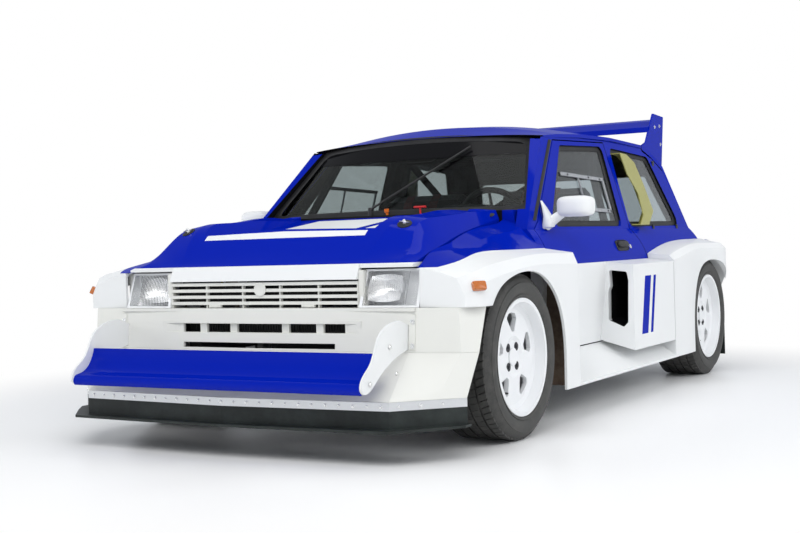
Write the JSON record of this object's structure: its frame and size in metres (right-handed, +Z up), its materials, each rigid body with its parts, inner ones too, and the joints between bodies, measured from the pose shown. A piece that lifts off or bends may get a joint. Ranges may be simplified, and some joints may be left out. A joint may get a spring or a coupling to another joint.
{
  "type": "rally car",
  "caption": "Short rally car with box flares, side intake pods, nose wing and rear wing; doors, tailgate, bonnet, steering and road wheels move.",
  "frame": {"origin": "on the ground, below the middle of the car's box", "axes": "+X to the car's left, +Y to its rear, +Z up"},
  "size_m": [1.837, 3.6569, 1.4124],
  "materials": {
    "white_paint": "gloss",
    "blue_paint": "gloss",
    "black_plastic": "matte",
    "white_plastic": "satin",
    "clear_glass": "clear",
    "acrylic": "clear",
    "lamp_glass": "ribbed",
    "aramid": "woven, satin",
    "bare_aluminium": "satin",
    "black_rubber": "matte",
    "dark_paint": "satin",
    "steel": "satin",
    "seat_cloth": "woven",
    "cage_paint": "satin",
    "iron": "rough",
    "red_lens": "gloss",
    "wheel_leather": "grained",
    "wheel_paint": "gloss",
    "tyre": "matte"
  },
  "bodies": {
    "body": {"body_sides": "blue_paint", "roof": "blue_paint", "windscreen": "clear_glass", "scuttle": "black_plastic", "quarter_windows": "acrylic", "window_scoops": "aramid", "front_fenders": "white_paint", "rear_flares": "white_paint", "side_sills": "white_paint", "front_bumper": "white_paint", "chin_panel": "white_paint", "skirt_strip": "bare_aluminium", "front_splitter": "black_rubber", "nose_wing": "blue_paint", "nose_wing_plates": "white_paint", "headlamps": "lamp_glass", "grille": "white_plastic", "floor_pan": "dark_paint", "bulkhead": "dark_paint", "firewall": "dark_paint", "front_rails": "dark_paint", "rear_frame": "dark_paint", "rear_wheelhouses": "dark_paint", "rear_uprights": "steel", "front_suspension": "steel", "rear_suspension": "steel", "seats": "seat_cloth", "roll_cage": "cage_paint", "dashboard": "black_plastic", "engine": "iron", "rear_panel": "white_paint", "tail_lamps": "red_lens", "exhaust": "steel", "mudflaps": "black_rubber", "wiper": "black_plastic"},
    "bonnet": {"bonnet": "blue_paint"},
    "tailgate": {"tailgate": "blue_paint", "tailgate_glass": "acrylic", "rear_wing": "blue_paint"},
    "steering_wheel": {"steering_wheel": "wheel_leather"},
    "door_left": {"door_left": "blue_paint", "door_glass_left": "acrylic", "mirror_left": "white_plastic"},
    "knuckle_left": {"knuckle_left": "steel"},
    "door_right": {"door_right": "blue_paint", "door_glass_right": "acrylic", "mirror_right": "white_plastic"},
    "knuckle_right": {"knuckle_right": "steel"},
    "wheel_front_left": {"rim_front_left": "wheel_paint", "tyre_front_left": "tyre"},
    "wheel_front_right": {"rim_front_right": "wheel_paint", "tyre_front_right": "tyre"},
    "wheel_rear_left": {"rim_rear_left": "wheel_paint", "tyre_rear_left": "tyre"},
    "wheel_rear_right": {"rim_rear_right": "wheel_paint", "tyre_rear_right": "tyre"}
  },
  "joints": [
    {"name": "steer_left", "type": "hinge", "parent": "body", "child": "knuckle_left", "pos_m": [0.672, -1.0415, 0.205], "axis": [-0.2626, 0, 0.9649], "range_deg": [-25, 25]},
    {"name": "steer_right", "type": "hinge", "parent": "body", "child": "knuckle_right", "pos_m": [-0.672, -1.0415, 0.205], "axis": [0.2626, 0, 0.9649], "range_deg": [-25, 25]},
    {"name": "steering_wheel_turn", "type": "hinge", "parent": "body", "child": "steering_wheel", "pos_m": [0.33, -0.12097, 0.81812], "axis": [0, 0.9397, 0.342], "range_deg": [-325, 325]},
    {"name": "door_left_hinge", "type": "hinge", "parent": "body", "child": "door_left", "pos_m": [0.775, -0.54478, 0.5], "axis": [0, 0, -1], "range_deg": [0, 65]},
    {"name": "door_right_hinge", "type": "hinge", "parent": "body", "child": "door_right", "pos_m": [-0.775, -0.54478, 0.5], "axis": [0, 0, 1], "range_deg": [0, 65]},
    {"name": "tailgate_hinge", "type": "hinge", "parent": "body", "child": "tailgate", "pos_m": [0, 1.12775, 1.27497], "axis": [1, 0, 0], "range_deg": [0, 60]},
    {"name": "bonnet_lift", "type": "slide", "parent": "body", "child": "bonnet", "axis": [0, 0, 1], "range_m": [0, 0.4]},
    {"name": "wheel_front_left_spin", "type": "hinge", "parent": "knuckle_left", "child": "wheel_front_left", "pos_m": [0.757, -1.0415, 0.31], "axis": [1, 0, 0], "continuous": true},
    {"name": "wheel_front_right_spin", "type": "hinge", "parent": "knuckle_right", "child": "wheel_front_right", "pos_m": [-0.757, -1.0415, 0.31], "axis": [1, 0, 0], "continuous": true},
    {"name": "wheel_rear_left_spin", "type": "hinge", "parent": "body", "child": "wheel_rear_left", "pos_m": [0.757, 1.3495, 0.31], "axis": [1, 0, 0], "continuous": true},
    {"name": "wheel_rear_right_spin", "type": "hinge", "parent": "body", "child": "wheel_rear_right", "pos_m": [-0.757, 1.3495, 0.31], "axis": [1, 0, 0], "continuous": true}
  ],
  "couplings": [
    {"joint": "steer_right", "follows": "steer_left", "ratio": 1},
    {"joint": "steering_wheel_turn", "follows": "steer_left", "ratio": 13}
  ]
}
